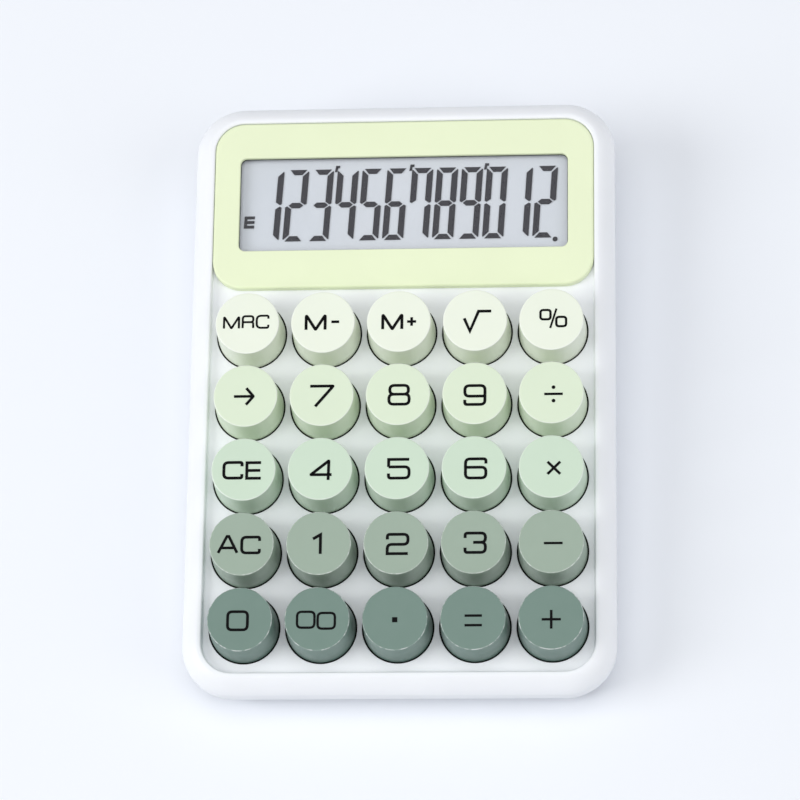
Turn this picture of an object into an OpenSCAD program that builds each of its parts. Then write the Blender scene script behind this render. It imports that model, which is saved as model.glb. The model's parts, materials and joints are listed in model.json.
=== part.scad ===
// Desktop calculator: wedge-shaped case, twelve-digit display and a five by five block of round keys.
// The origin is on the table, under the middle of the case. +X is to the right, +Y towards the display.

/* [Case] */
// Width of the case
case_w = 110; // [109.4:0.1:111]
// Length of the case, measured along the key deck
case_l = 158.4; // [158:0.1:160]
// Radius of the case's corners, seen from above
corner_r = 12.8; // [12:0.1:14]
// Angle between the key deck and the table, in degrees
wedge = 4; // [3.5:0.1:4.5]
// Height of the key deck above the table at the middle of the case
deck_h = 20; // [19.5:0.1:21]
// Height of the rim above the key deck
rim_h = 2.2; // [1.9:0.1:2.6]
// Width of the rim around the key deck
rim_w = 5.3; // [5.1:0.1:5.4]
// Radius of the rim's rounded outer edge
rim_round = 4.4; // [3:0.1:4.8]
// Depth of the upper shell below the key deck
skirt = 5.5; // [5.3:0.1:6]
// Wall thickness of both shells
wall = 2; // [1.8:0.1:2.1]
// Thickness of the key deck
deck_t = 1.8; // [1.6:0.1:1.9]
// How far the lower shell stands back from the upper one
inset = 1.4; // [1.2:0.1:1.6]
// Thickness of the floor
floor_t = 2.6; // [2.5:0.1:3]
// Radius of the rounded edge around the floor
floor_round = 3; // [2:0.1:4]

/* [Keys] */
// Distance from one key to the next, both ways
pitch = 19.5; // [19.4:0.1:19.6]
// Centre of the key block, from the middle of the case
keypad_y = -23.2; // [-23.3:0.1:-22.9]
// Radius of a key where it passes the deck
key_r = 8.75; // [8.5:0.05:8.85]
// Radius of a key at its top edge
key_top_r = 8.2; // [7.8:0.05:8.3]
// Height of a key above the deck
key_h = 10.4; // [8:0.1:12]
// Flat chamfer around a key's top
key_chamfer = 0.25; // [0.1:0.05:0.5]
// Wall thickness of a key
key_wall = 1.2; // [1:0.1:1.5]
// How far a key goes down
travel = 2.2; // [1.5:0.1:2.2]

/* [Display] */
// Length of the display bezel, front to rear
bezel_l = 45.8; // [45:0.1:46]
// Height of the bezel above the deck
bezel_h = 2.1; // [1.8:0.1:2.3]
// Radius of the bezel's rounded top edge
bezel_round = 0.9; // [0.5:0.1:1]
// Width of the opening in the bezel
view_w = 85.8; // [84:0.1:87]
// Length of the opening in the bezel
view_l = 25.7; // [24:0.1:26]
// Radius of the opening's corners
view_r = 1.7; // [0.5:0.1:2.5]
// Centre of the opening, from the middle of the case
view_y = 51.25; // [51:0.05:51.5]

/* [Feet and battery] */
// Height of the floor above the table
foot_h = 1.5; // [1.2:0.1:2]
// Radius of a foot
foot_r = 4.5; // [4:0.1:5]
// Radius of the battery
cell_r = 5.25; // [5:0.05:5.3]
// Length of the battery with its nub
cell_l = 44.5; // [43:0.1:44.6]
// How far the battery door slides before it lifts off
door_travel = 6; // [5.5:0.1:6]

/* [Hidden] */
$fn = 96;
e = 0.01;
fit = 0.1;

// The well that holds the keys and the bezel
well_w = case_w - 2 * rim_w;
well_l = case_l - 2 * rim_w;
well_r = corner_r - 5;

// Keys
hole_r = key_r + 0.1;
hole_top_r = key_r + 0.4;
hole_step = 1.2;
flange_top = -deck_t - 0.1;
flange_t = 1;
flange_w = pitch - 0.6;
flange_corner_r = 10.6;
dome_top = -3.7;
dome_h = travel + 1.3;
sheet_t = 1;
board_top = dome_top - dome_h - sheet_t;
board_t = 1.6;
board_bottom = board_top - board_t;
board_front = -71.8;
board_rear = 31;
board_w = 98;

// Display stack, below the bezel
bezel_gap = 0.12;
bezel_w = well_w - 2 * bezel_gap;
bezel_y = well_l / 2 - bezel_gap - bezel_l / 2;
bezel_r = well_r - bezel_gap;
tape_t = 0.1;
tape_edge = 0.12;
window_t = 0.9;
window_z = 0.1;
window_edge = 2.5;
lcd_top = -0.1;
glass_t = 1.1;
lcd_bottom = lcd_top - 2 * glass_t;
lcd_w = view_w + 5;
lcd_rear = view_y + view_l / 2 + 4.1;
lcd_step = view_y - view_l / 2 - 0.2;
lcd_front = lcd_step - 3.4;
lcd_gap = 0.3;
holder_t = 2;
holder_w = case_w - 2 * wall - 2;
ribbon_t = 0.15;
ribbon_w = 70;

// Screws, on the deck's own grid
board_screws = concat(
    [for (x = [-1.5, 1.5], y = [-1.5, 1.5]) [x * pitch, keypad_y + y * pitch]],
    [for (x = [-0.5, 0.5], y = [-0.5, 0.5]) [x * pitch, keypad_y + y * pitch]]);
case_screws = [for (s = [-1, 1], p = [[46.2, -73.4], [48, 30], [46, 73.3]]) [s * p[0], p[1]]];
holder_screws = [for (s = [-1, 1], y = [44, 62]) [s * 49.7, y]];
peg_spots = concat([for (s = [-1, 1], y = [38, 67.5]) [s * 47.7, y]], [[0, 31.2], [0, 71.3]]);
peg_r = 1.2;
case_boss_end = -7.5;
case_head_z = -10.5;
boss_r = 2.2;
case_boss_r = 2.6;
pillar_r = 3;
m2_r = 1;
m2_head_r = 1.9;
m2_head_h = 1.3;
m25_r = 1.2;
m25_head_r = 2;
m25_head_h = 1.5;

// Lower shell, upright on the table
lower_w = case_w - 2 * inset;
lower_l = (case_l - 2 * inset) * cos(wedge);
lower_y = skirt * sin(wedge);
lower_r = corner_r - inset;
lip_t = 1.2;
lip_h = 1;
foot_spots = [[-44, -60], [44, -60], [-44, 60], [44, 60]];
foot_recess = 0.6;
foot_edge = 0.4;

// Battery bay, upright on the table
bay_y = 52;
bay_half_x = 25;
bay_half_y = 6;
bay_wall = 1.4;
bay_top = 14.3;
bay_floor = 1.8;
cell_z = foot_h + bay_floor + cell_r;
nub_h = 1;
nub_r = 1.9;
cell_nub_x = -cell_l / 2 - 0.45;
cell_flat_x = cell_nub_x + cell_l;
plate_t = 0.4;
plate_w = 10;
plate_x = bay_half_x - 0.1 - plate_t;
door_w = 54;
door_t = 1.5;
door_front = bay_y - 7.5;
door_rear = bay_y + 20;
door_side_gap = 0.15;
tab_l = 5;
tab_w = 1.2;
tab_t = 0.7;
tab_spots = [bay_y - 5, bay_y + 10];
tab_z = foot_h + door_t - tab_t;
lead_r = 0.5;

case_white = [0.93, 0.93, 0.95];
bezel_lime = [0.92, 0.96, 0.81];
row_colors = [
    [0.94, 0.96, 0.89],
    [0.87, 0.94, 0.84],
    [0.80, 0.90, 0.80],
    [0.63, 0.71, 0.63],
    [0.48, 0.59, 0.54]];

// ---- frames and shared shapes ----

// Places children on the sloping deck: z = 0 is the deck's top, y = 0 the middle of the case
module on_deck() {
    translate([0, 0, deck_h]) rotate([wedge, 0, 0]) children();
}

module at(spots) {
    for (p = spots) translate([p[0], p[1], 0]) children();
}

// An upright rod from z0 to z1
module rod(r, z0, z1) {
    translate([0, 0, z0]) cylinder(r = r, h = z1 - z0);
}

// A flat box, centred across, from y0 to y1 and from z0 to z1
module plate(w, y0, y1, z0, z1) {
    translate([-w / 2, y0, z0]) cube([w, y1 - y0, z1 - z0]);
}

module round_box(w, l, r, h) {
    linear_extrude(h) {
        square([w - 2 * r, l], center = true);
        square([w, l - 2 * r], center = true);
        for (x = [-1, 1], y = [-1, 1]) translate([x * (w / 2 - r), y * (l / 2 - r)]) circle(r);
    }
}

// Half of a slab's section, from its middle out to w, with the top outer edge rounded
module edge_section(w, h, round) {
    square([w, h - round]);
    square([w - round, h]);
    translate([w - round, h - round]) intersection() {
        circle(round);
        square(round);
    }
}

// A slab with upright round corners and a rounded edge all around its top
module soft_slab(w, l, r, h, round) {
    for (side = [0, 180]) rotate(side) {
        rotate([90, 0, 0]) linear_extrude(l - 2 * r, center = true) edge_section(w / 2, h, round);
        rotate([90, 0, 90]) linear_extrude(w - 2 * r, center = true) edge_section(l / 2, h, round);
    }
    for (x = [-1, 1], y = [-1, 1])
        translate([x * (w / 2 - r), y * (l / 2 - r), 0]) rotate_extrude() edge_section(r, h, round);
}

// A self-tapping screw that points up: its head hangs below z, its shank reaches length above
module screw(z, r, length, head_r, head_h) {
    difference() {
        union() {
            rod(r, z, z + length);
            rod(head_r, z - head_h, z);
        }
        for (a = [0, 90]) rotate(a)
            translate([-head_r * 0.6, -0.25, z - head_h - e]) cube([head_r * 1.2, 0.5, head_h * 0.55]);
    }
}

// ---- shells ----

module upper_case() {
    color(case_white) on_deck() difference() {
        union() {
            difference() {
                translate([0, 0, -skirt])
                    soft_slab(case_w, case_l, corner_r, skirt + rim_h, rim_round);
                round_box(well_w, well_l, well_r, rim_h + 1);
                translate([0, 0, -skirt - 1])
                    round_box(case_w - 2 * wall, case_l - 2 * wall, corner_r - wall, skirt + 1 - deck_t);
            }
            at(case_screws) rod(case_boss_r, case_boss_end, -deck_t / 2);
            at(board_screws) rod(boss_r, board_top, -deck_t / 2);
            at(holder_screws) rod(boss_r, lcd_bottom, -deck_t / 2);
        }
        key_holes();
        plate(lcd_w + 2 * lcd_gap, lcd_front - lcd_gap, lcd_rear + lcd_gap, -deck_t - 1, 1);
        at(peg_spots) rod(peg_r + 0.05, -deck_t - 1, 1);
        at(case_screws) rod(m25_r + 0.05, case_boss_end - 1, -deck_t - 0.4);
        at(board_screws) rod(m2_r + 0.05, board_top - 1, -deck_t - 0.4);
        at(holder_screws) rod(m2_r + 0.05, lcd_bottom - 1, 1);
    }
}

module key_holes() {
    for (col = [-2:2], row = [-2:2]) translate([col * pitch, keypad_y + row * pitch, 0]) {
        rod(hole_r, -deck_t - 1, 1);
        rod(hole_top_r, -hole_step, 1);
    }
}

module lower_case() {
    color(case_white) difference() {
        union() {
            difference() {
                lower_outline();
                translate([0, lower_y, foot_h + floor_t])
                    round_box(lower_w - 2 * wall, lower_l - 2 * wall, lower_r - wall, 40);
            }
            lip();
            intersection() {
                lower_outline();
                on_deck() at(case_screws) rod(pillar_r, -30, case_boss_end);
            }
            plate(2 * (bay_half_x + bay_wall), bay_y - bay_half_y - bay_wall, bay_y + bay_half_y + bay_wall,
                foot_h + bay_floor, bay_top + bay_wall);
        }
        plate(2 * bay_half_x, bay_y - bay_half_y, bay_y + bay_half_y, 0, bay_top);
        door_channel();
        contact_slots();
        at(foot_spots) rod(foot_r + fit, 0, foot_h + foot_recess);
        on_deck() at(case_screws) {
            rod(m25_r + 0.2, -30, 0);
            rod(m25_head_r + 0.3, -30, case_head_z);
            rod(case_boss_r + 0.2, case_boss_end, 0);
        }
    }
}

// The lower shell as a solid block: flat below, cut off along the seam with the upper shell
module lower_outline() {
    difference() {
        translate([0, lower_y, foot_h + 40]) mirror([0, 0, 1])
            soft_slab(lower_w, lower_l, lower_r, 40, floor_round);
        on_deck() translate([-case_w, -case_l, -skirt]) cube([2 * case_w, 2 * case_l, 60]);
    }
}

// The rib that stands inside the upper shell and keeps the two in line
module lip() {
    lip_w = case_w - 2 * wall - 0.3;
    lip_l = case_l - 2 * wall - 0.3;
    lip_r = corner_r - wall - 0.15;
    on_deck() difference() {
        translate([0, 0, -skirt - lip_t]) round_box(lip_w, lip_l, lip_r, lip_t + lip_h);
        translate([0, 0, -skirt - lip_t - 1])
            round_box(lip_w - 2 * lip_t, lip_l - 2 * lip_t, lip_r - lip_t, lip_t + lip_h + 2);
        at(holder_screws) rod(m2_head_r + 0.2, -skirt - lip_t, 0);
    }
}

// The shallow track that the battery door slides in, open towards the rear
module door_channel() {
    half = door_w / 2 + door_side_gap;
    plate(2 * half, door_front - door_side_gap, case_l, 0, foot_h + door_t + fit);
    for (y = tab_spots) {
        plate(2 * (half + tab_w), y - fit, y + tab_l + door_travel + 2 * fit, tab_z - fit,
            foot_h + door_t + fit);
        plate(2 * (half + tab_w), y + door_travel - 2 * fit, y + tab_l + door_travel + 2 * fit, 0, tab_z);
    }
}

module contact_slots() {
    plate(2 * (bay_half_x + bay_wall + 1), bay_y - 1, bay_y + 1, 12.4, 13.2);
}

module battery_door() {
    color(case_white) difference() {
        union() {
            plate(door_w, door_front, door_rear, foot_h, foot_h + door_t);
            for (y = tab_spots) plate(door_w + 2 * tab_w, y, y + tab_l, tab_z, foot_h + door_t);
        }
        for (i = [0:4]) plate(16, door_rear - 4 - i * 2, door_rear - 3 - i * 2, 0, foot_h + 0.4);
    }
}

module foot(i) {
    top = foot_h + foot_recess;
    color([0.25, 0.25, 0.26]) translate([foot_spots[i][0], foot_spots[i][1], 0]) rotate_extrude()
        polygon([[0, 0], [foot_r - foot_edge, 0], [foot_r, foot_edge], [foot_r, top], [0, top]]);
}

// ---- display ----

module display_bezel() {
    color(bezel_lime) on_deck() {
        difference() {
            translate([0, bezel_y, 0]) soft_slab(bezel_w, bezel_l, bezel_r, bezel_h, bezel_round);
            translate([0, view_y, -1]) round_box(view_w, view_l, view_r, bezel_h + 2);
            plate(view_w + 2 * window_edge + 0.2, view_y - view_l / 2 - window_edge - 0.1,
                view_y + view_l / 2 + window_edge + 0.1, -1, window_z + window_t + tape_t);
        }
        at(peg_spots) rod(peg_r, lcd_bottom + 0.1, window_z);
    }
}

module display_window() {
    color([0.85, 0.9, 0.92, 0.4]) on_deck()
        plate(view_w + 2 * window_edge, view_y - view_l / 2 - window_edge,
            view_y + view_l / 2 + window_edge, window_z, window_z + window_t);
}

module window_tape() {
    z0 = window_z + window_t;
    color([0.2, 0.2, 0.2]) on_deck() difference() {
        plate(view_w + 2 * window_edge, view_y - view_l / 2 - window_edge,
            view_y + view_l / 2 + window_edge, z0, z0 + tape_t);
        translate([0, view_y, z0 - 1])
            round_box(view_w - 2 * tape_edge, view_l - 2 * tape_edge, view_r - tape_edge, 2);
    }
}

module lcd_panel() {
    color([0.76, 0.78, 0.82]) on_deck() {
        plate(lcd_w, lcd_front, lcd_rear, lcd_bottom, lcd_bottom + glass_t);
        plate(lcd_w, lcd_step, lcd_rear, lcd_bottom, lcd_top);
    }
}

module lcd_holder() {
    color([0.85, 0.85, 0.86]) on_deck() difference() {
        plate(holder_w, lcd_step + 0.4, lcd_rear + 1.4, lcd_bottom - holder_t, lcd_bottom);
        plate(lcd_w - 12, view_y - 8, view_y + 8, lcd_bottom - holder_t - 1, lcd_bottom + 1);
        at(holder_screws) rod(m2_r + 0.2, lcd_bottom - holder_t - 1, lcd_bottom + 1);
    }
}

// The flat connector from the ledge under the display glass down to the main board
module lcd_ribbon() {
    t = ribbon_t;
    y_board = board_rear - 4.5;
    y_bend = board_rear - 1;
    color([0.8, 0.55, 0.2]) on_deck() rotate([90, 0, 90]) linear_extrude(ribbon_w, center = true) polygon([
        [lcd_step, lcd_bottom - t], [lcd_front + 0.5, lcd_bottom - t], [y_bend, board_top],
        [y_board, board_top], [y_board, board_top + t], [y_bend - 0.1, board_top + t],
        [lcd_front + 0.4, lcd_bottom], [lcd_step, lcd_bottom]]);
}

// ---- keys and the board under them ----

module key(col, row) {
    inner_r = key_r - key_wall;
    top_z = key_h - key_wall;
    inner_top_r = key_top_r - key_wall + 0.1;
    flange_bottom = flange_top - flange_t;
    color(row_colors[row]) on_deck() translate([(col - 2) * pitch, keypad_y + (2 - row) * pitch, 0]) {
        difference() {
            union() {
                rotate_extrude() polygon([
                    [0, flange_bottom], [key_r, flange_bottom], [key_r, 0],
                    [key_top_r, key_h - key_chamfer], [key_top_r - key_chamfer, key_h], [0, key_h]]);
                translate([0, 0, flange_bottom]) linear_extrude(flange_t) intersection() {
                    square(flange_w, center = true);
                    circle(flange_corner_r);
                }
            }
            rotate_extrude() polygon([
                [0, flange_bottom - 1], [inner_r, flange_bottom - 1], [inner_r, 0],
                [inner_top_r, top_z], [0, top_z]]);
        }
        rod(2.2, dome_top + 0.05, top_z + 0.2);
        for (a = [0, 90]) rotate(a) plate(2 * inner_top_r - 0.8, -0.5, 0.5, -1.5, top_z + 0.2);
    }
}

// Rubber sheet with one collapsing dome under each key
module keypad_sheet() {
    dome = [[0, 0], [5.2, 0], [3.3, dome_h - 1.3], [2.7, dome_h - 1.1], [2.7, dome_h], [0, dome_h]];
    hollow = [[0, -1], [4.4, -1], [4.4, 0.8], [2.4, travel + 0.1], [0, travel + 0.1]];
    color([0.55, 0.57, 0.6]) on_deck() difference() {
        union() {
            plate(board_w - 0.8, board_front + 0.4, keypad_y + 2.5 * pitch - 0.3, board_top,
                board_top + sheet_t);
            for (col = [-2:2], row = [-2:2])
                translate([col * pitch, keypad_y + row * pitch, board_top + sheet_t - e])
                    rotate_extrude() polygon(dome);
        }
        for (col = [-2:2], row = [-2:2]) translate([col * pitch, keypad_y + row * pitch, board_top])
            rotate_extrude() polygon(hollow);
        at(board_screws) rod(boss_r + 0.4, board_top - 1, 0);
        at(case_screws) rod(pillar_r + 0.4, board_top - 1, 0);
    }
}

module main_board() {
    color([0.25, 0.45, 0.3]) on_deck() difference() {
        plate(board_w, board_front, board_rear, board_bottom, board_top);
        at(board_screws) rod(m2_r + 0.2, board_bottom - 1, board_top + 1);
        at(case_screws) rod(pillar_r + 0.4, board_bottom - 1, board_top + 1);
    }
}

module controller_chip() {
    color([0.1, 0.1, 0.1]) on_deck() translate([0, 15, board_bottom]) rotate_extrude()
        polygon([[0, 0], [7, 0], [6.4, -0.9], [4.4, -1.5], [0, -1.8]]);
}

module filter_capacitor() {
    color([0.15, 0.15, 0.3]) on_deck() translate([18, 22, board_bottom - 2.1]) rotate([0, 90, 0])
        cylinder(r = 2, h = 5);
}

module chip_resistors() {
    color([0.2, 0.2, 0.22]) on_deck() for (i = [0:5])
        translate([-20 + i * 2.4, 24 - (i % 2) * 3, board_bottom - 0.6]) cube([1.3, 2, 0.6]);
}

module board_screws() {
    color("silver") on_deck() at(board_screws) screw(board_bottom, m2_r, 6, m2_head_r, m2_head_h);
}

module holder_screws() {
    color("silver") on_deck() at(holder_screws)
        screw(lcd_bottom - holder_t, m2_r, 3.9, m2_head_r, m2_head_h);
}

module case_screws() {
    color("silver") on_deck() at(case_screws) screw(case_head_z, m25_r, 7.8, m25_head_r, m25_head_h);
}

// ---- battery ----

// Places children on the battery's axis, pointing along +X
module on_cell_axis(x) {
    translate([x, bay_y, cell_z]) rotate([0, 90, 0]) children();
}

module battery() {
    color([0.2, 0.35, 0.3]) on_cell_axis(cell_nub_x) {
        cylinder(r = nub_r, h = nub_h + 0.5);
        translate([0, 0, nub_h]) cylinder(r = cell_r, h = cell_l - nub_h);
    }
}

// A flat contact in one end of the bay, with its solder tab out through the end wall
module contact_plate(side) {
    tab_end = bay_half_x + bay_wall + 2;
    translate([side > 0 ? plate_x : -plate_x - plate_t, bay_y - plate_w / 2, foot_h + bay_floor])
        cube([plate_t, plate_w, plate_w]);
    translate([side > 0 ? plate_x : -tab_end, bay_y - 0.75, 12.6]) cube([tab_end - plate_x, 1.5, plate_t]);
}

module positive_contact() {
    color("silver") {
        contact_plate(-1);
        on_cell_axis(-plate_x - 0.1) cylinder(r = 2.5, h = plate_x + 0.1 + cell_nub_x - 0.02);
    }
}

function unit(v) = v / norm(v);
function heading(path, i) = unit(path[min(i + 1, len(path) - 1)] - path[max(i - 1, 0)]);

// Round wire of radius r along a path that never runs parallel to ref
module wire(path, r, sides, ref) {
    turns = [for (k = [0:sides - 1]) k * 360 / sides];
    points = [for (i = [0:len(path) - 1]) let (t = heading(path, i), s = unit(cross(ref, t)), u = cross(t, s))
        each [for (a = turns) path[i] + r * (cos(a) * s + sin(a) * u)]];
    last = (len(path) - 1) * sides;
    walls = [for (i = [0:len(path) - 2], k = [0:sides - 1]) let (k2 = (k + 1) % sides, j = i * sides)
        [j + k, j + sides + k, j + sides + k2, j + k2]];
    ends = [[for (k = [0:sides - 1]) k], [for (k = [sides - 1:-1:0]) last + k]];
    polyhedron(points, concat(walls, ends));
}

// Conical coil that pushes the battery towards the other contact
module negative_contact() {
    spring_r = 0.3;
    depth = plate_x - cell_flat_x - 2 * spring_r;
    turns = 2.5;
    steps = 40;
    coil = [for (i = [0:steps]) let (t = i / steps, a = t * turns * 360, coil_r = 4.2 - 1.4 * t)
        [plate_x - spring_r + 0.1 - t * depth, bay_y + coil_r * cos(a), cell_z + coil_r * sin(a)]];
    color("silver") {
        contact_plate(1);
        wire(coil, spring_r, 6, [1, 0, 0]);
    }
}

// From a contact's tab to the rear of the main board
function lead(side) = [for (t = [0:0.1:1])
    [side * (27.9 + 1.4 * sin(180 * t) - 1.9 * t), bay_y - 23 * t, 12.05 - 1.4 * sin(180 * t) - 0.6 * t]];

module positive_wire() {
    color("red") wire(lead(-1), lead_r, 10, [0, 0, 1]);
}

module negative_wire() {
    color([0.1, 0.1, 0.1]) wire(lead(1), lead_r, 10, [0, 0, 1]);
}

upper_case();
lower_case();
display_bezel();
display_window();
window_tape();
lcd_panel();
lcd_holder();
lcd_ribbon();
keypad_sheet();
main_board();
controller_chip();
filter_capacitor();
chip_resistors();
board_screws();
holder_screws();
case_screws();
foot(0);  // foot_front_left
foot(1);  // foot_front_right
foot(2);  // foot_rear_left
foot(3);  // foot_rear_right
battery_door();
battery();
positive_contact();
negative_contact();
positive_wire();
negative_wire();
key(0, 0);  // key_recall
key(1, 0);  // key_memory_minus
key(2, 0);  // key_memory_plus
key(3, 0);  // key_root
key(4, 0);  // key_percent
key(0, 1);  // key_backspace
key(1, 1);  // key_7
key(2, 1);  // key_8
key(3, 1);  // key_9
key(4, 1);  // key_divide
key(0, 2);  // key_clear_entry
key(1, 2);  // key_4
key(2, 2);  // key_5
key(3, 2);  // key_6
key(4, 2);  // key_multiply
key(0, 3);  // key_all_clear
key(1, 3);  // key_1
key(2, 3);  // key_2
key(3, 3);  // key_3
key(4, 3);  // key_subtract
key(0, 4);  // key_0
key(1, 4);  // key_00
key(2, 4);  // key_point
key(3, 4);  // key_equals
key(4, 4);  // key_add
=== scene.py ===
"""Looks for the desktop calculator. Lengths in the shape code are millimetres in the key deck's own frame:
x to the right, y towards the display, z out of the deck, with z = 0 on the deck's upper face."""
import json
import math

import bmesh
import bpy
from mathutils import Matrix, Vector


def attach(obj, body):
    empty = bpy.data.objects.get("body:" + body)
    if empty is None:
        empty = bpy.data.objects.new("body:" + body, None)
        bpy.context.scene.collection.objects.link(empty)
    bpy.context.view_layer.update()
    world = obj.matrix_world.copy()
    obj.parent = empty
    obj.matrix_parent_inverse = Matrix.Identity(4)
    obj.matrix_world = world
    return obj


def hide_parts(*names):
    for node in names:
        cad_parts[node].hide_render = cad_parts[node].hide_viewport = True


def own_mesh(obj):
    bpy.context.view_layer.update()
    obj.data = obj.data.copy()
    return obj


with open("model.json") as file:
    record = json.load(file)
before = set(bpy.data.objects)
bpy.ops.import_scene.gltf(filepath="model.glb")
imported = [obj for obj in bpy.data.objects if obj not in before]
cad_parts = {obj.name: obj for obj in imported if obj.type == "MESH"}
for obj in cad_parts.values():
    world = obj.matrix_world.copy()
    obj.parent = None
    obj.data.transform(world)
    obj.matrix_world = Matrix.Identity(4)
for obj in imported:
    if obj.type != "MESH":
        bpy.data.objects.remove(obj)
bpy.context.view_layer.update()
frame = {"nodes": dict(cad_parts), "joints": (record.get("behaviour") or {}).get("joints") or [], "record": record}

# ---- driving dimensions, the same as the CAD model's ----
MM = 0.001
DECK_H = 20.0
CASE_W, CASE_L, CORNER_R = 110.0, 158.4, 12.8
RIM_W, RIM_H, RIM_ROUND = 5.3, 2.2, 4.4
SKIRT, WALL, DECK_T = 5.5, 2.0, 1.8
WELL_W, WELL_L, WELL_R = CASE_W - 2 * RIM_W, CASE_L - 2 * RIM_W, CORNER_R - 5
PITCH, KEYPAD_Y = 19.5, -23.2
KEY_R, KEY_TOP_R, KEY_H = 8.75, 8.2, 10.4
FLANGE_TOP, FLANGE_T, FLANGE_W, FLANGE_CORNER_R = -1.9, 1.0, 18.9, 10.6
BEZEL_L, BEZEL_H, BEZEL_ROUND, BEZEL_GAP = 45.8, 2.1, 0.7, 0.07
VIEW_W, VIEW_L, VIEW_Y = 85.8, 25.7, 51.25
GLASS_T, LCD_TOP = 1.1, -0.1
WINDOW_Z, WINDOW_T, WINDOW_EDGE = 0.1, 0.9, 2.5
DOME_TOP, DOME_H, SHEET_T, BOARD_TOP = -3.7, 3.5, 1.0, -8.2
SHEET_W, SHEET_FRONT = 97.2, -71.4
# Each key's hole: the guide near the deck's lower face, the wider part above it and its rounded upper edge
GUIDE_R, GUIDE_TOP, HOLE_R, HOLE_EDGE = 8.85, -1.4, 9.15, 0.12
# The opening in the deck under the display: width, length, corner radius and how far its middle is behind the view's
OPENING_W, OPENING_L, OPENING_R, OPENING_BACK = VIEW_W + 5.6, 34, 0.5, 0.1
# Where a painted shadow darkens the gap around a key: inner radius, outer radius, lowest and highest z
GAP_SHADOW_IN_DECK = (8.8, 9.2, -1.75, -0.13)
GAP_SHADOW_ON_KEY = (KEY_R - 0.2, 11, -2.8, -0.25)

KEY_ROWS = [
    ["recall", "memory_minus", "memory_plus", "root", "percent"],
    ["backspace", "7", "8", "9", "divide"],
    ["clear_entry", "4", "5", "6", "multiply"],
    ["all_clear", "1", "2", "3", "subtract"],
    ["0", "00", "point", "equals", "add"]]
ROW_SLOTS = ["key_cream", "key_light_green", "key_mint", "key_sage", "key_grey_green"]

press = {j["child"]: j for j in frame["joints"]}
push = Vector(press["key_5"]["axis"])
WEDGE = math.atan2(push.y, -push.z)
DECK = Matrix.Translation((0, 0, DECK_H * MM)) @ Matrix.Rotation(WEDGE, 4, "X")
DECK_MM = DECK @ Matrix.Scale(MM, 4)


# ---- mesh building ----

def mesh_object(name, bm, matrix=DECK_MM, smooth_angle=35):
    bmesh.ops.recalc_face_normals(bm, faces=bm.faces)
    bm.transform(matrix)
    data = bpy.data.meshes.new(name)
    bm.to_mesh(data)
    bm.free()
    obj = bpy.data.objects.new(name, data)
    bpy.context.scene.collection.objects.link(obj)
    shade(obj, smooth_angle)
    return obj


def shade(obj, smooth_angle=35):
    obj.data.shade_smooth()
    obj.data.set_sharp_from_angle(angle=math.radians(smooth_angle))


def weight_normals(obj):
    m = obj.modifiers.new("normals", "WEIGHTED_NORMAL")
    m.mode = "FACE_AREA"
    m.weight = 80
    m.keep_sharp = True


def add_loft(bm, loops, caps=True, ring=False):
    """Faces between successive loops of points. ring joins the last loop to the first."""
    rows = [[bm.verts.new(p) for p in loop] for loop in loops]
    pairs = list(zip(rows, rows[1:])) + ([(rows[-1], rows[0])] if ring else [])
    for low, high in pairs:
        n = len(low)
        for i in range(n):
            bm.faces.new((low[i], low[(i + 1) % n], high[(i + 1) % n], high[i]))
    if caps and not ring:
        bm.faces.new(rows[0][::-1])
        bm.faces.new(rows[-1])


def round_rect(w, l, r, z, cy=0.0, n=12):
    """A loop around a rectangle with round corners, n + 1 points on each corner."""
    points = []
    for k, (sx, sy) in enumerate(((1, 1), (-1, 1), (-1, -1), (1, -1))):
        for i in range(n + 1):
            a = math.radians(90 * (k + i / n))
            points.append((sx * (w / 2 - r) + r * math.cos(a), cy + sy * (l / 2 - r) + r * math.sin(a), z))
    return points


def add_plate(bm, w, l, r, edge, z0, z1, cy, n):
    """A flat plate with round corners and its upper and lower edges taken off."""
    rings = [(edge, z0), (0, z0 + edge), (0, z1 - edge), (edge, z1)]
    add_loft(bm, [round_rect(w - 2 * o, l - 2 * o, r - o, z, cy, n) for o, z in rings])


def fillet(cx, cz, r, a0, a1, n=4):
    """Points (offset, z) on an arc from angle a0 to a1, in degrees."""
    return [(cx + r * math.cos(math.radians(a0 + (a1 - a0) * i / n)),
             cz + r * math.sin(math.radians(a0 + (a1 - a0) * i / n))) for i in range(n + 1)]


def lathe_loops(profile, cx, cy, n=72, radius=None):
    """Loops around an upright axis. radius(r, angle) may turn a circle into another outline."""
    out = []
    for r, z in profile:
        loop = []
        for i in range(n):
            a = 2 * math.pi * i / n
            q = radius(r, a) if radius else r
            loop.append((cx + q * math.cos(a), cy + q * math.sin(a), z))
        out.append(loop)
    return out


def cut_out(obj, bm):
    """Cuts the shape in bm out of obj."""
    tool = mesh_object("tool", bm)
    m = obj.modifiers.new("cut", "BOOLEAN")
    m.operation, m.solver, m.object = "DIFFERENCE", "EXACT", tool
    bpy.context.view_layer.update()
    cut = bpy.data.meshes.new_from_object(obj.evaluated_get(bpy.context.evaluated_depsgraph_get()))
    obj.modifiers.clear()
    obj.data = cut
    bpy.data.objects.remove(tool)


def paint_gap_shadow(obj, x, y, inner, outer, low, high):
    """Gives the faces around a key's axis, between two radii and two heights, a near-black material: a painted shadow
    in the gap.
    """
    to_deck = DECK_MM.inverted()
    if len(obj.data.materials) < 2:
        obj.data.materials.append(MATERIALS["painted_gap_shadow"])
    for face in obj.data.polygons:
        p = to_deck @ face.center
        if low < p.z < high and inner < math.hypot(p.x - x, p.y - y) < outer:
            face.material_index = 1


def key_centres():
    for row, names in enumerate(KEY_ROWS):
        for col, name in enumerate(names):
            yield name, row, col, (col - 2) * PITCH, KEYPAD_Y + (2 - row) * PITCH


# ---- materials ----

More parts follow.
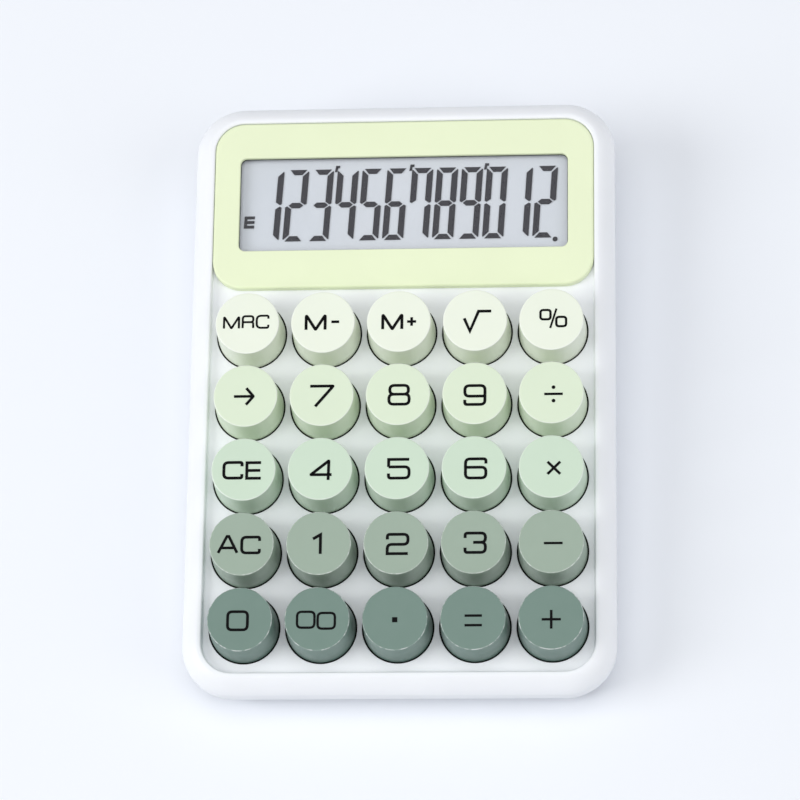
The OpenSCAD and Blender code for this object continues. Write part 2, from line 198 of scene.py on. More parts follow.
PALE_SHARE = 0.5  # how far the pale top edge, a painted highlight mixed with wear, goes from the piece's own colour to white
DRIFT_DEPTH = 0.00002  # depth in metres of the slow waves in a moulded face
PLASTIC_IOR = 1.49


def linear(r, g, b):
    def one(v):
        v /= 255
        return v / 12.92 if v <= 0.04045 else ((v + 0.055) / 1.055) ** 2.4
    return (one(r), one(g), one(b), 1.0)


class Nodes:
    """Small helper around one material's node tree."""

    def __init__(self, name):
        self.material = bpy.data.materials.new(name)
        self.material.use_nodes = True
        self.tree = self.material.node_tree
        self.tree.nodes.clear()
        self.out = self.tree.nodes.new("ShaderNodeOutputMaterial")
        self.coord = self.tree.nodes.new("ShaderNodeTexCoord").outputs["Object"]

    def add(self, kind, **values):
        node = self.tree.nodes.new(kind)
        for key, value in values.items():
            if key in node.inputs:
                if isinstance(value, bpy.types.NodeSocket):
                    self.tree.links.new(value, node.inputs[key])
                else:
                    node.inputs[key].default_value = value
            else:
                setattr(node, key, value)
        return node

    def link(self, a, b):
        self.tree.links.new(a, b)

    def noise(self, scale, detail):
        node = self.add("ShaderNodeTexNoise", Vector=self.coord, Scale=scale, Detail=detail, Roughness=0.5)
        return node.outputs["Fac"]

    def remap(self, value, a, b, c, d):
        node = self.add("ShaderNodeMapRange", Value=value)
        for key, v in zip(("From Min", "From Max", "To Min", "To Max"), (a, b, c, d)):
            node.inputs[key].default_value = v
        return node.outputs["Result"]

    def mix(self, fac, a, b):
        node = self.add("ShaderNodeMix", data_type="RGBA")
        for key, v in (("Factor", fac), ("A", a), ("B", b)):
            kind = "VALUE" if key == "Factor" else "RGBA"
            socket = [s for s in node.inputs if s.name == key and s.type == kind][0]
            if isinstance(v, bpy.types.NodeSocket):
                self.link(v, socket)
            else:
                socket.default_value = v
        return [s for s in node.outputs if s.type == "RGBA"][0]

    def math(self, operation, a, b=0.0):
        node = self.tree.nodes.new("ShaderNodeMath")
        node.operation = operation
        for socket, v in zip(node.inputs, (a, b)):
            if isinstance(v, bpy.types.NodeSocket):
                self.link(v, socket)
            else:
                socket.default_value = v
        return node.outputs[0]

    def principled(self, color, roughness, bumps=(), **values):
        """bumps is a list of (height socket, distance in metres)."""
        normal = None
        for height, distance in bumps:
            node = self.add("ShaderNodeBump", Height=height, Strength=1.0, Distance=distance)
            if normal is not None:
                self.link(normal, node.inputs["Normal"])
            normal = node.outputs["Normal"]
        shader = self.add("ShaderNodeBsdfPrincipled", **{"Base Color": color, "Roughness": roughness, **values})
        if normal is not None:
            self.link(normal, shader.inputs["Normal"])
        self.link(shader.outputs[0], self.out.inputs["Surface"])
        return shader


def plastic(name, color, roughness, grain=0.000004, wear_and_sheen=0.0, subsurface=0.0, ior=PLASTIC_IOR):
    """Moulded plastic: fine spark-eroded grain, faint colour drift, lighter top edges that are a painted highlight
    mixed with wear.

    grain is the depth of the fine bumps in metres. The wear argument turns on the pale line along the top edge, a
    painted highlight broken into patches of wear, and makes it more broken."""
    n = Nodes(name)
    base = linear(*color)
    lighter = tuple(min(1.0, c * 1.03) for c in base[:3]) + (1.0,)
    darker = tuple(c * 0.97 for c in base[:3]) + (1.0,)
    tone = n.mix(n.noise(60, 4), darker, lighter)
    # A pale line is painted along the top edge: a painted highlight, with patches of wear
    if wear_and_sheen:
        # The edge is where the surface turns from the side, with its normal level, to the top, with it upright
        up = n.add("ShaderNodeSeparateXYZ", Vector=n.add("ShaderNodeNewGeometry").outputs["Normal"]).outputs["Z"]
        past_side, before_top = n.remap(up, 0.2, 0.45, 0.0, 1.0), n.remap(up, 0.985, 0.94, 0.0, 1.0)
        edge = n.math("MULTIPLY", past_side, before_top)
        patchy = n.remap(n.noise(700, 5), 0.46, 0.62, 1.05 - 0.85 * wear_and_sheen, 1.0)
        pale = tuple(c + (1.0 - c) * PALE_SHARE for c in base[:3]) + (1.0,)
        tone = n.mix(n.math("MULTIPLY", edge, patchy), tone, pale)
    rough = n.remap(n.noise(350, 4), 0.3, 0.7, roughness - 0.04, roughness + 0.05)
    bumps = [(n.noise(5000, 2), grain), (n.noise(45, 2), DRIFT_DEPTH)]
    values = {"IOR": ior}
    if subsurface:
        values.update({"Subsurface Weight": subsurface, "Subsurface Radius": (0.6, 0.6, 0.5),
                       "Subsurface Scale": 0.001})
    n.principled(tone, rough, bumps, **values)
    return n.material


def metal(name, color, roughness=0.3):
    n = Nodes(name)
    base = linear(*color)
    tone = n.mix(n.noise(400, 4), tuple(c * 0.85 for c in base[:3]) + (1.0,), base)
    rough = n.remap(n.noise(1200, 3), 0.3, 0.7, roughness - 0.06, roughness + 0.1)
    n.principled(tone, rough, [(n.noise(3000, 2), 0.000003)], Metallic=1.0)
    return n.material


def clear_sheet(name, tint):
    """A thin clear sheet: light passes straight through, with a Fresnel reflection on its outer side."""
    n = Nodes(name)
    through = n.add("ShaderNodeBsdfTransparent", Color=n.mix(n.noise(20, 2), linear(*tint), (1, 1, 1, 1)))
    gloss = n.add("ShaderNodeBsdfGlossy", Roughness=n.remap(n.noise(200, 3), 0.3, 0.7, 0.02, 0.05))
    fresnel = n.add("ShaderNodeFresnel", IOR=PLASTIC_IOR)
    inside = n.add("ShaderNodeNewGeometry").outputs["Backfacing"]
    in_shadow = n.add("ShaderNodeLightPath").outputs["Is Shadow Ray"]
    shown = n.math("SUBTRACT", 1.0, n.math("MAXIMUM", inside, in_shadow))
    mixer = n.add("ShaderNodeMixShader")
    n.link(n.math("MULTIPLY", fresnel.outputs[0], n.math("MAXIMUM", shown, 0.0)), mixer.inputs[0])
    n.link(through.outputs[0], mixer.inputs[1])
    n.link(gloss.outputs[0], mixer.inputs[2])
    n.link(mixer.outputs[0], n.out.inputs["Surface"])
    return n.material


MATERIALS = {
    "case_plastic": plastic("case_plastic", (243, 245, 249), 0.42, subsurface=0.06),
    "lime_plastic": plastic("lime_plastic", (233, 242, 206), 0.45, subsurface=0.05),
    "key_cream": plastic("key_cream", (235, 241, 225), 0.42, wear_and_sheen=0.3, subsurface=0.05),
    "key_light_green": plastic("key_light_green", (219, 232, 207), 0.42, wear_and_sheen=0.3, subsurface=0.05),
    "key_mint": plastic("key_mint", (202, 221, 200), 0.42, wear_and_sheen=0.4, subsurface=0.04),
    "key_sage": plastic("key_sage", (152, 170, 154), 0.40, wear_and_sheen=0.8),
    "key_grey_green": plastic("key_grey_green", (108, 133, 123), 0.40, wear_and_sheen=1.0),
    "window_plastic": clear_sheet("window_plastic", (253, 254, 255)),
    "lcd_glass": plastic("lcd_glass", (204, 208, 214), 0.35, grain=0.000001),
    "black_print": plastic("black_print", (4, 4, 6), 0.6, grain=0.000002, ior=1.2),
    "lcd_segment": plastic("lcd_segment", (22, 21, 34), 0.45, grain=0.000001, ior=1.2),
    # A near-black material painted into the gap round each key as its shadow
    "painted_gap_shadow": plastic("painted_gap_shadow", (12, 14, 14), 0.8),
    "holder_plastic": plastic("holder_plastic", (215, 215, 218), 0.5),
    "ribbon_film": plastic("ribbon_film", (190, 128, 52), 0.3),
    "silicone": plastic("silicone", (140, 145, 152), 0.6, subsurface=0.1),
    "board_laminate": plastic("board_laminate", (52, 102, 70), 0.4),
    "chip_epoxy": plastic("chip_epoxy", (16, 16, 17), 0.3),
    "capacitor_sleeve": plastic("capacitor_sleeve", (32, 34, 74), 0.3),
    "screw_steel": metal("screw_steel", (185, 186, 190)),
    "foot_rubber": plastic("foot_rubber", (62, 62, 64), 0.75, grain=0.00001),
    "cell_jacket": plastic("cell_jacket", (52, 92, 78), 0.3),
    "contact_nickel": metal("contact_nickel", (205, 200, 190), 0.2),
    "red_insulation": plastic("red_insulation", (180, 28, 22), 0.35),
    "black_insulation": plastic("black_insulation", (18, 18, 18), 0.35),
}
SLOTS = {s["node"]: s["material_slot"] for s in frame["record"]["subparts"]}


def dress(obj, slot, material=None):
    """Gives a piece its material: the one named by slot, or material if that is given."""
    obj.data.materials.clear()
    obj.data.materials.append(MATERIALS[material or slot])
    return obj


# ---- upper case ----

RIM_STEPS, RIM_POWER = 16, 2 / 1.45


def rim_slope():
    """(offset, z) down the rim's outer side: flatter in the middle than a quarter circle, rounder at its ends."""
    out = []
    for i in range(RIM_STEPS + 1):
        a = math.radians(90 * (1 - i / RIM_STEPS))
        across, down = 1 - math.cos(a) ** RIM_POWER, 1 - math.sin(a) ** RIM_POWER
        out.append((RIM_ROUND * across, RIM_H - RIM_ROUND * down))
    return out


def build_upper_case():
    def at(offset, z):
        return round_rect(CASE_W - 2 * offset, CASE_L - 2 * offset, CORNER_R - offset, z, n=16)

    def well(offset, z):
        return round_rect(WELL_W - 2 * offset, WELL_L - 2 * offset, WELL_R - offset, z, n=16)

    deck_fillet, lip_fillet, foot_fillet, deck_strip = 0.35, 0.45, 0.3, 0.4
    loops = [well(deck_fillet + deck_strip, 0)]
    loops += [well(o, z) for o, z in fillet(deck_fillet, deck_fillet, deck_fillet, 270, 180)]
    loops += [well(-o, z) for o, z in fillet(lip_fillet, RIM_H - lip_fillet, lip_fillet, 180, 90)]
    loops += [at(o, z) for o, z in rim_slope()]
    loops += [at(foot_fillet - q, -SKIRT + z) for q, z in fillet(0, foot_fillet, foot_fillet, 0, -90)]
    loops += [at(WALL, -SKIRT), at(WALL, -DECK_T)]
    bm = bmesh.new()
    add_loft(bm, loops)
    case = mesh_object("upper_case_shell", bm)

    below, above, clear_r = -4, 1, 9.4
    hole = [(GUIDE_R, below), (GUIDE_R, GUIDE_TOP), (HOLE_R, GUIDE_TOP)]
    hole += fillet(HOLE_R + HOLE_EDGE, -HOLE_EDGE, HOLE_EDGE, 180, 90, 3)
    hole += [(clear_r, 0.001), (clear_r, above)]
    cuts = bmesh.new()
    for _, _, _, x, y in key_centres():
        add_loft(cuts, lathe_loops(hole, x, y))
    cut_out(case, cuts)
    opening = bmesh.new()
    add_loft(opening, [round_rect(OPENING_W, OPENING_L, OPENING_R, z, cy=VIEW_Y + OPENING_BACK, n=3)
                       for z in (below, above)])
    cut_out(case, opening)
    shade(case, 40)
    weight_normals(case)
    return case


# ---- keys ----

def flange_outline(r, angle):
    square = FLANGE_W / 2 / max(abs(math.cos(angle)), abs(math.sin(angle)))
    return min(square, FLANGE_CORNER_R) if r == FLANGE_CORNER_R else r


def build_key(name, x, y):
    inner_r, inner_top_r, top_t, edge = KEY_R - 1.2, KEY_TOP_R - 1.1, 1.2, 0.28
    stem_r, stem_gap = 2.2, 0.05
    bottom = FLANGE_TOP - FLANGE_T
    profile = [(stem_r, DOME_TOP + stem_gap), (stem_r, KEY_H - top_t), (inner_top_r, KEY_H - top_t), (inner_r, 0),
               (inner_r, bottom), (FLANGE_CORNER_R, bottom), (FLANGE_CORNER_R, FLANGE_TOP), (KEY_R, FLANGE_TOP),
               (KEY_R, -0.3), (KEY_R, 0)]
    profile += [(KEY_R + (KEY_TOP_R - KEY_R) * t, (KEY_H - edge) * t) for t in (0.25, 0.5, 0.75)]
    profile += fillet(KEY_TOP_R - edge, KEY_H - edge, edge, 4, 90, 5)
    # The top is very slightly hollow
    profile += [(KEY_TOP_R - edge - 0.3, KEY_H), (5.2, KEY_H - 0.03), (2.5, KEY_H - 0.05)]
    bm = bmesh.new()
    add_loft(bm, lathe_loops(profile, x, y, radius=flange_outline))
    key = mesh_object("cap_" + name, bm)
    weight_normals(key)
    return key


# ---- printed legends, drawn as strokes ----

PEN = 0.74  # width of the digits' strokes
BOX_R = 1.15  # radius of the turns in a stroke
LEGEND_Y = -0.35  # y of the legends from the middle of their key
INK_T, INK_LIFT, INK_STEP = 0.02, 0.002, 0.002  # ink's thickness, gap under it, and extra per stroke of a sign
POINT_W = 1.3


def rounded(points, r, closed=False, n=5):
    """A path through points with its inner corners rounded to radius r."""
    out = []
    count = len(points)
    for i, p in enumerate(points):
        p = Vector(p)
        if not closed and i in (0, count - 1):
            out.append(p)
            continue
        a, b = Vector(points[i - 1]) - p, Vector(points[(i + 1) % count]) - p
        half = a.angle(b) / 2
        cut = min(r / math.tan(half), a.length * 0.48, b.length * 0.48)
        start, end = p + a.normalized() * cut, p + b.normalized() * cut
        for k in range(n + 1):
            t = k / n
            out.append(start * (1 - t) ** 2 + p * 2 * t * (1 - t) + end * t * t)
    return out


def stroke(bm, path, width, z, closed, thick):
    """A flat printed line of the given width along path."""
    n = len(path)
    left, right = [], []
    for i, p in enumerate(path):
        before = path[i - 1] if (closed or i) else None
        after = path[(i + 1) % n] if (closed or i < n - 1) else None
        d1 = (p - before).normalized() if before is not None else (after - p).normalized()
        d2 = (after - p).normalized() if after is not None else d1
        bisector = Vector((-(d1 + d2).y, (d1 + d2).x)).normalized()
        reach = min(1 / max(bisector.dot(Vector((-d1.y, d1.x))), 0.2), 2.2) * width / 2
        left.append(p + bisector * reach)
        right.append(p - bisector * reach)
    top = z + thick
    sections = [[(a.x, a.y, z), (b.x, b.y, z), (b.x, b.y, top), (a.x, a.y, top)] for a, b in zip(left, right)]
    add_loft(bm, sections, caps=not closed, ring=closed)


def pill(w, h, r=BOX_R, cy=0.0):
    x, low, high = w / 2, cy - h / 2, cy + h / 2
    return rounded([(-x, low), (x, low), (x, high), (-x, high)], r, True)


def line(*points, r=0.0):
    return rounded(points, r) if r else [Vector(p) for p in points]


def glyph(sign, w, h):
    """Strokes of one sign in a wide, round-cornered style, as (path, closed) pairs in a box w by h centred on 0."""
    x, y, r = w / 2, h / 2, BOX_R
    low, mid = -0.02 * h, 0.02 * h
    hook, foot_hook = y - 0.25 * h, -y + 0.25 * h
    signs = {
        "0": [(pill(w, h), True)],
        "o": [(pill(w, h, 0.75), True)],
        "1": [(line((-0.30 * w, y - 0.22 * h), (0.08 * w, y), (0.08 * w, -y)), False)],
        "2": [(line((-x, y - 0.26 * h), (-x, y), (x, y), (x, low), (-x, low), (-x, -y), r=r), False),
              (line((-x - PEN / 2, -y), (x, -y)), False)],
        "3": [(line((-x, hook), (-x, y), (x, y), (x, mid), (-x * 0.2, mid), r=r), False),
              (line((-x * 0.2, mid), (x, mid), (x, -y), (-x, -y), (-x, foot_hook), r=r), False)],
        "4": [(line((0.34 * w, -y), (0.36 * w, y), (-x, -0.22 * h), (x, -0.22 * h), r=0.08), False)],
        "5": [(line((x, y), (-x, y), (-x, 0.1 * h)), False),
              (line((-x, 0.1 * h), (x, 0.1 * h), (x, -y), (-x, -y), (-x, foot_hook), r=r), False)],
        "6": [(line((x, hook), (x, y), (-x, y), (-x, -y), (x, -y), (x, 0.06 * h), (-x, 0.06 * h), r=r), False)],
        "7": [(line((-x, y), (x, y), (-0.27 * w, -y), r=0.1), False)],
        "8": [(pill(w, 0.53 * h, r, -0.235 * h), True), (pill(w * 0.92, 0.47 * h, r, 0.265 * h), True)],
        "9": [(line((-x, foot_hook), (-x, -y), (x, -y), (x, y), (-x, y), (-x, -0.06 * h), (x, -0.06 * h), r=r),
               False)],
        "M": [(line((-x, -y), (-x, y), (0, -y), (x, y), (x, -y), r=0.16), False)],
        "R": [(line((-x, -y), (-x, y), (x, y), (x, 0.0), (-x, 0.0), r=0.7), False),
              (line((0.1 * w, 0), (x, 0), (x, -y), r=0.6), False)],
        "C": [(line((x, hook), (x, y), (-x, y), (-x, -y), (x, -y), (x, foot_hook), r=r), False)],
        "E": [(line((x, y), (-x, y), (-x, -y), (x, -y)), False), (line((-x, 0), (x * 0.9, 0)), False)],
        "A": [(line((-x, -y), (-0.05 * w, y), (0.05 * w, y), (x, -y)), False),
              (line((-0.32 * w, -0.2 * h), (0.32 * w, -0.2 * h)), False)],
        "-": [(line((-x, 0), (x, 0)), False)],
        "+": [(line((-x, 0), (x, 0)), False), (line((0, -x), (0, x)), False)],
        "x": [(line((-x, -x), (x, x)), False), (line((-x, x), (x, -x)), False)],
        "=": [(line((-x, y), (x, y)), False), (line((-x, -y), (x, -y)), False)],
        ">": [(line((-x, 0), (x - 0.3, 0)), False), (line((x * 0.25, y), (x, 0), (x * 0.25, -y), r=0.2), False)],
        "root": [(line((-x, 0.15 * h), (-x * 0.57, -y), (x * 0.06, y), (x, y)), False)],
        "/": [(line((-x, -y), (x, y)), False)],
    }
    return signs[sign]


def flat_print(bm, outline, z):
    """A printed patch with the given outline."""
    add_loft(bm, [[(x, y, z) for x, y in outline], [(x, y, z + INK_T) for x, y in outline]])


def square_dot(bm, x, y, w, z):
    corners = ((-1, -1), (1, -1), (1, 1), (-1, 1))
    flat_print(bm, [(x + across * w / 2, y + along * w / 2) for across, along in corners], z)


def round_dot(bm, x, y, w, z):
    turns = [k * math.pi / 8 for k in range(16)]
    flat_print(bm, [(x + w / 2 * math.cos(a), y + w / 2 * math.sin(a)) for a in turns], z)


# The divide sign's middle, the width of its dots and their distance from its bar
DIVIDE_X, DIVIDE_Y, DIVIDE_DOT, DIVIDE_RISE = 0.55, -0.1, 0.95, 1.78
# Each key's signs: sign, width, height, x of its centre, y of its centre, pen width
LEGENDS = {
    "recall": [("M", 3.85, 3.2, -4.05, 0.57, 0.54), ("R", 2.7, 3.2, 0.2, 0.62, 0.54),
               ("C", 3.0, 3.25, 3.95, 0.67, 0.54)],
    "memory_minus": [("M", 4.9, 3.9, -1.85, 0.3, 0.74), ("-", 2.0, 1, 3.2, 0.4, 0.7)],
    "memory_plus": [("M", 4.9, 3.95, -1.65, 0.2, 0.74), ("+", 2.3, 1, 3.3, 0.2, 0.66)],
    "root": [("root", 6.9, 5.3, 0.7, 0.07, 0.74)],
    "percent": [("o", 2.55, 2.5, -1.5, 1.55, 0.6), ("/", 1.6, 5.2, 0.5, 0.55, 0.5),
                ("o", 2.5, 2.5, 2.5, -0.35, 0.6)],
    "backspace": [(">", 5.0, 4.4, -0.4, 0.2, 0.7)],
    "divide": [("-", 4.7, 1, DIVIDE_X, DIVIDE_Y, 0.64)],
    "clear_entry": [("C", 4.6, 4.1, -2.65, 0.15, 0.76), ("E", 3.6, 4.1, 2.7, 0.05, 0.74)],
    "multiply": [("x", 3.2, 3.2, 0.65, -0.05, 0.66)],
    "all_clear": [("A", 4.8, 4.3, -3.45, 0.2, 0.7), ("C", 4.5, 4.1, 2.35, 0.05, 0.72)],
    "subtract": [("-", 4.7, 1, 0.5, -0.1, 0.62)],
    "0": [("0", 5.0, 4.66, -0.46, 0, 0.7)],
    "00": [("0", 4.37, 4.07, -2.8, 0.15, 0.6), ("0", 4.32, 4.02, 2.35, -0.15, 0.6)],
    "point": [],
    "equals": [("=", 4.3, 2.45, 0.1, -0.3, 0.62)],
    "add": [("+", 4.75, 1, 0.0, -0.15, 0.62)],
}
DIGITS = (("1", 5.0, 5.0, 0.1, 0.1), ("2", 5.2, 5.0, 0.47, 0), ("3", 5.1, 5.0, 0.47, 0.15),
          ("4", 5.3, 5.05, 0.33, -0.12), ("5", 5.2, 4.9, 0.52, 0.12), ("6", 5.15, 5.0, 0.45, 0),
          ("7", 5.9, 5.4, 0.05, 0), ("8", 5.15, 5.0, 0.33, 0.15), ("9", 5.1, 5.0, 0.12, -0.15))
LEGENDS.update({digit[0]: [(*digit, PEN)] for digit in DIGITS})


def build_legend(name, x, y):
    z = KEY_H + INK_LIFT
    bm = bmesh.new()
    for sign, w, h, sx, sy, pen in LEGENDS[name]:
        for layer, (path, closed) in enumerate(glyph(sign, w, h)):
            moved = [p + Vector((x + sx, y + sy + LEGEND_Y)) for p in path]
            stroke(bm, moved, pen, z, closed, INK_T + INK_STEP * layer)
    if name == "divide":
        for rise in (DIVIDE_RISE, -DIVIDE_RISE):
            round_dot(bm, x + DIVIDE_X, y + LEGEND_Y + DIVIDE_Y + rise, DIVIDE_DOT, z)
    if name == "point":
        square_dot(bm, x, y + LEGEND_Y, POINT_W, z)
    return mesh_object("legend_" + name, bm)


# ---- display ----

# How far the display glass reaches past the view: to the rear, to the front and to each side; and its ribbon ledge
LCD_REAR, LCD_FRONT, LCD_SIDE, LCD_LEDGE = 4.1, 0.2, 2.5, 3.4
REFLECTOR_DEPTH = 0.2  # how far under the segments the grey reflector is
SEGMENT_T, SEGMENT_GAP = 1.6, 0.3
LCD_DIGIT_W, LCD_DIGIT_H, LCD_PITCH = 5.55, 19.85, 6.53
LCD_SLANT = 0.062  # sideways shift per unit of height
LCD_BASE_Y, LCD_LAST_X = VIEW_Y - 9.65, 33.55  # foot of the digits, and left side of the last one
LCD_POINT_X, LCD_POINT_Y, LCD_POINT_R = 39.55, VIEW_Y - 10.1, 0.66
LCD_MARK = [(-0.75, -0.75), (-0.1, -0.75), (0.05, 0.3), (0.5, 0.3), (0.5, 1.0), (-0.55, 1.0)]
LCD_E_X, LCD_E_RISE, LCD_E_W, LCD_E_H, LCD_E_T = -42.2, 3.75, 2.7, 3.35, 0.8


def build_bezel():
    foot_edge, view_r, view_edge, seat_r, play = 0.15, 1.7, 0.3, 0.4, 0.1
    w, l, r = WELL_W - 2 * BEZEL_GAP, BEZEL_L, WELL_R - BEZEL_GAP
    cy = WELL_L / 2 - BEZEL_GAP - BEZEL_L / 2

    def outer(o, z):
        return round_rect(w - 2 * o, l - 2 * o, r - o, z, cy=cy)

    def inner(o, z, corner=view_r):
        return round_rect(VIEW_W + 2 * o, VIEW_L + 2 * o, corner + o, z, cy=VIEW_Y)

    seat = WINDOW_Z + WINDOW_T + play + 0.01
    pocket = WINDOW_EDGE + play
    loops = [outer(foot_edge, 0), outer(0, foot_edge)]
    loops += [outer(BEZEL_ROUND - q, z) for q, z in fillet(0, BEZEL_H - BEZEL_ROUND, BEZEL_ROUND, 0, 90, 6)]
    loops += [inner(o, z) for o, z in fillet(view_edge, BEZEL_H - view_edge, view_edge, 90, 180)]
    loops += [inner(0, seat), inner(pocket, seat, seat_r), inner(pocket, 0, seat_r)]
    bm = bmesh.new()
    add_loft(bm, loops, ring=True)
    bezel = mesh_object("bezel_frame", bm)
    weight_normals(bezel)
    return bezel


def build_window():
    w, l, r, edge = VIEW_W + 2 * WINDOW_EDGE, VIEW_L + 2 * WINDOW_EDGE, 0.6, 0.1
    bm = bmesh.new()
    add_plate(bm, w, l, r, edge, WINDOW_Z, WINDOW_Z + WINDOW_T, VIEW_Y, 4)
    return mesh_object("window_sheet", bm)


def build_lcd():
    """The glass with its grey reflector, and the ledge that the ribbon is bonded to."""
    rear, step = VIEW_Y + VIEW_L / 2 + LCD_REAR, VIEW_Y - VIEW_L / 2 - LCD_FRONT
    bottom = LCD_TOP - 2 * GLASS_T
    w, r, edge = VIEW_W + 2 * LCD_SIDE, 0.3, 0.08
    lower = (step - LCD_LEDGE, bottom, bottom + GLASS_T)
    upper = (step, bottom + GLASS_T + 0.01, LCD_TOP - REFLECTOR_DEPTH)
    bm = bmesh.new()
    for y0, z0, z1 in (lower, upper):
        add_plate(bm, w, rear - y0, r, edge, z0, z1, (y0 + rear) / 2, 3)
    return mesh_object("lcd_glass_stack", bm)


LIT = {"0": "abcdef", "1": "bc", "2": "abged", "3": "abgcd", "4": "fgbc", "5": "afgcd", "6": "afgedc",
       "7": "fabc", "8": "abcdefg", "9": "abcdfg"}


def segment(letter, w, h, t, g):
    """Outline of one segment of a seven-segment digit, its lower left corner at 0. g is the gap between segments."""
    m = h / 2
    d = g * 0.75
    flat = {
        "a": [(t * 0.22 + d, h), (w - t * 0.22 - d, h), (w - t * 0.95 - d, h - t * 0.9), (t * 0.95 + d, h - t * 0.9)],
        "g": [(t * 0.40 + d, m), (t * 0.95 + d, m + t * 0.47), (w - t * 0.95 - d, m + t * 0.47),
              (w - t * 0.40 - d, m), (w - t * 0.95 - d, m - t * 0.47), (t * 0.95 + d, m - t * 0.47)],
        "f": [(0, h - t * 0.25 - d), (t * 0.12, h - t * 0.14 - d), (t, h - t - d), (t, m + t * 0.5 + d * 0.8),
              (t * 0.3, m + d * 0.8), (0, m + t * 0.2 + d * 0.8)],
    }
    flip_x = {"b": "f", "c": "e"}
    flip_y = {"d": "a", "e": "f"}
    if letter in flip_x:
        return [(w - x, y) for x, y in segment(flip_x[letter], w, h, t, g)]
    if letter in flip_y:
        return [(x, h - y) for x, y in flat[flip_y[letter]]]
    return flat[letter]


def build_segments():
    """123'456'789'012. as dark shapes in the display, with a small letter E at the left."""
    bm = bmesh.new()

    def shape(points):
        flat_print(bm, [(x + LCD_SLANT * (y - LCD_BASE_Y), y) for x, y in points], LCD_TOP - INK_T)

    digits = "123456789012"
    for i, value in enumerate(digits):
        x0 = LCD_LAST_X - (len(digits) - 1 - i) * LCD_PITCH
        for letter in LIT[value]:
            outline = segment(letter, LCD_DIGIT_W, LCD_DIGIT_H, SEGMENT_T, SEGMENT_GAP)
            shape([(x0 + x, LCD_BASE_Y + y) for x, y in outline])
        if i in (3, 6, 9):
            top = LCD_BASE_Y + LCD_DIGIT_H
            shape([(x0 + x, top + y) for x, y in LCD_MARK])
    turns = [2 * math.pi * k / 20 for k in range(20)]
    shape([(LCD_POINT_X + LCD_POINT_R * math.cos(a), LCD_POINT_Y + LCD_POINT_R * math.sin(a)) for a in turns])
    ex, ey, ew, eh, et = LCD_E_X, LCD_BASE_Y + LCD_E_RISE, LCD_E_W, LCD_E_H, LCD_E_T
    shape([(ex, ey), (ex + ew, ey), (ex + ew, ey + et), (ex + et, ey + et), (ex + et, ey + (eh - et) / 2),
           (ex + ew, ey + (eh - et) / 2), (ex + ew, ey + (eh + et) / 2), (ex + et, ey + (eh + et) / 2),
           (ex + et, ey + eh - et), (ex + ew, ey + eh - et), (ex + ew, ey + eh), (ex, ey + eh)])
    return mesh_object("lcd_segments", bm)


# ---- rubber sheet: one flat piece and a dome per key ----

# Half of a dome's section: radius and height above the sheet, then radius and depth below the dome's top
DOME_FOOT = [(5.2, 0), (4.9, 0.3)]
DOME_HEAD = [(3.4, 1.35), (2.9, 1.1), (2.7, 0.9), (2.7, 0.15), (2.55, 0)]


def build_sheet():
    r, edge = 2, 0.15
    y0, y1 = SHEET_FRONT, KEYPAD_Y + 2.5 * PITCH - 0.3
    bm = bmesh.new()
    add_plate(bm, SHEET_W, y1 - y0, r, edge, BOARD_TOP, BOARD_TOP + SHEET_T, (y0 + y1) / 2, 5)
    return mesh_object("rubber_sheet", bm)


def build_dome(name, x, y):
    top = BOARD_TOP + SHEET_T + DOME_H
    foot = BOARD_TOP + SHEET_T
    profile = [(r, foot + z) for r, z in DOME_FOOT] + [(r, top - z) for r, z in DOME_HEAD]
    bm = bmesh.new()
    add_loft(bm, lathe_loops(profile, x, y, n=32))
    return mesh_object("dome_" + name, bm)


# ---- put it together ----

def place(obj, body, node=None):
    """Lets a piece ride a body, and lets it stand in for a node of the CAD model if one is named."""
    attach(obj, body)
    if node:
        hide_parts(node)


shell = dress(build_upper_case(), "case_plastic")
# The walls of each key's hole in the deck get the painted shadow of the gap
for _, _, _, hole_x, hole_y in key_centres():
    paint_gap_shadow(shell, hole_x, hole_y, *GAP_SHADOW_IN_DECK)
place(shell, "body", "upper_case")
place(dress(build_bezel(), "lime_plastic"), "body", "display_bezel")
place(dress(build_window(), "window_plastic"), "body", "display_window")
place(dress(build_lcd(), "lcd_glass"), "body", "lcd_panel")
place(dress(build_segments(), "black_print", "lcd_segment"), "body")
place(dress(build_sheet(), "silicone"), "body", "keypad_sheet")

for key_name, row, _, key_x, key_y in key_centres():
    body = "key_" + key_name
    cap = dress(build_key(key_name, key_x, key_y), ROW_SLOTS[row])
    # The key's lower part inside the gap gets the painted shadow of the gap too
    paint_gap_shadow(cap, key_x, key_y, *GAP_SHADOW_ON_KEY)
    place(cap, body, body)
    place(dress(build_legend(key_name, key_x, key_y), "black_print"), body)
    dome = dress(build_dome(key_name, key_x, key_y), "silicone")
    place(dome, "body")
    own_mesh(dome)

# The pieces that keep the CAD mesh get their materials
for node_name, node in frame["nodes"].items():
    if not node.hide_render:
        for slot in node.material_slots:
            slot.material = MATERIALS[SLOTS[node_name]]


# ---- floor, light and camera ----

FLOOR_HALF = 1.6
# name, azimuth and elevation in degrees, side of the softbox in metres, watts
LIGHTS = (("key_light", -76, 36, 1.2, 21.5), ("fill_light", 72, 38, 1.5, 10.5), ("top_light", 0, 88, 1.8, 16))
LIGHT_DISTANCE = 2.2
SKY_COLOR, SKY_STRENGTH = (0.95, 0.97, 1.0, 1), 0.41
CAMERA_AZIMUTH, CAMERA_ELEVATION, CAMERA_ROLL = 12.85, 68.43, -12.65
CAMERA_DISTANCE, CAMERA_SENSOR, CAMERA_LENS = 0.9247, 36.0, 162.0
CAMERA_AIM = (-0.3, -2.1)  # on the deck, in millimetres


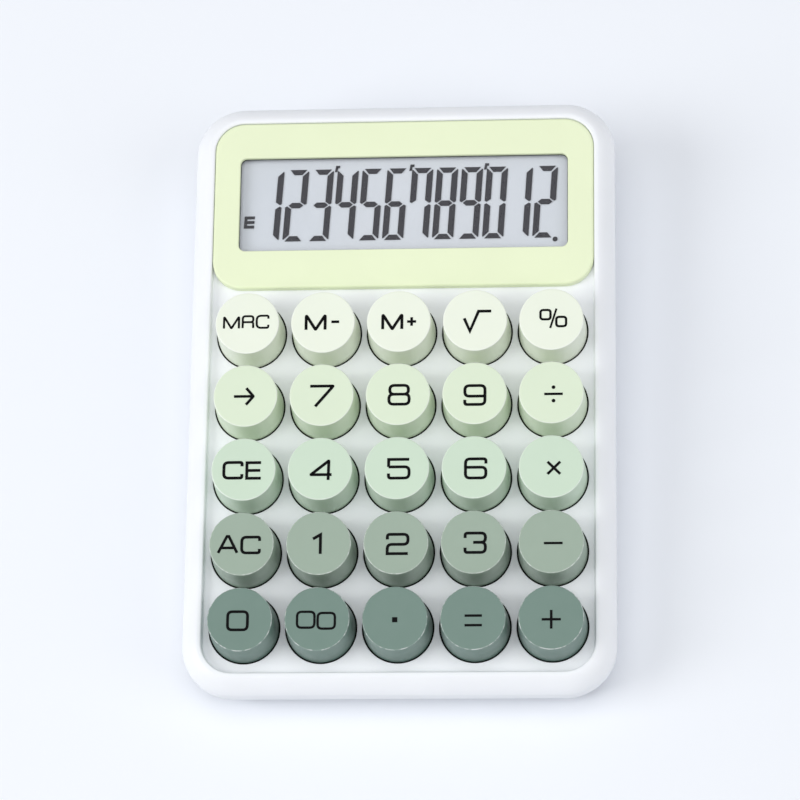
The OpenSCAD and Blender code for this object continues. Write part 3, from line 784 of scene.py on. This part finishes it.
def build_floor():
    """Pale paper, clear from below so that the underside can be looked at."""
    bm = bmesh.new()
    corners = [(x * FLOOR_HALF, y * FLOOR_HALF, 0) for x, y in ((-1, -1), (1, -1), (1, 1), (-1, 1))]
    bm.faces.new([bm.verts.new(p) for p in corners])
    floor = mesh_object("floor", bm, Matrix.Identity(4))
    n = Nodes("floor_paper")
    tone = n.mix(n.noise(3, 2), linear(239, 242, 248), linear(242, 245, 250))
    paper = n.principled(tone, 0.7)
    see_through = n.add("ShaderNodeBsdfTransparent")
    sides = n.add("ShaderNodeMixShader")
    n.link(n.add("ShaderNodeNewGeometry").outputs["Backfacing"], sides.inputs[0])
    n.link(paper.outputs[0], sides.inputs[1])
    n.link(see_through.outputs[0], sides.inputs[2])
    n.link(sides.outputs[0], n.out.inputs["Surface"])
    floor.data.materials.append(n.material)


def outward(azimuth, elevation):
    """The direction from the object towards something at these angles in degrees. Azimuth 0 is at the front."""
    a, e = math.radians(azimuth), math.radians(elevation)
    return Vector((math.sin(a) * math.cos(e), -math.cos(a) * math.cos(e), math.sin(e)))


def area_light(name, azimuth, elevation, size, watts):
    """A square softbox that looks at the object from the given direction."""
    back = outward(azimuth, elevation)
    data = bpy.data.lights.new(name, "AREA")
    data.shape, data.size, data.energy = "SQUARE", size, watts
    lamp = bpy.data.objects.new(name, data)
    lamp.location = back * LIGHT_DISTANCE
    lamp.rotation_mode = "QUATERNION"
    lamp.rotation_quaternion = (-back).to_track_quat("-Z", "Y")
    bpy.context.scene.collection.objects.link(lamp)


def build_camera():
    aim = DECK @ Vector((CAMERA_AIM[0] * MM, CAMERA_AIM[1] * MM, 0))
    back = outward(CAMERA_AZIMUTH, CAMERA_ELEVATION)
    roll = Matrix.Rotation(math.radians(CAMERA_ROLL), 4, "Z").to_quaternion()
    data = bpy.data.cameras.new("camera")
    data.sensor_width, data.lens = CAMERA_SENSOR, CAMERA_LENS
    data.clip_start, data.clip_end = 0.05, 10
    camera = bpy.data.objects.new("camera", data)
    camera.location = aim + back * CAMERA_DISTANCE
    camera.rotation_mode = "QUATERNION"
    camera.rotation_quaternion = (-back).to_track_quat("-Z", "Y") @ roll
    bpy.context.scene.collection.objects.link(camera)
    bpy.context.scene.camera = camera


build_floor()
for light in LIGHTS:
    area_light(*light)
world = bpy.data.worlds.new("studio")
world.use_nodes = True
sky = world.node_tree.nodes["Background"].inputs
sky["Color"].default_value, sky["Strength"].default_value = SKY_COLOR, SKY_STRENGTH
bpy.context.scene.world = world
bpy.context.scene.view_settings.view_transform = "Standard"
build_camera()
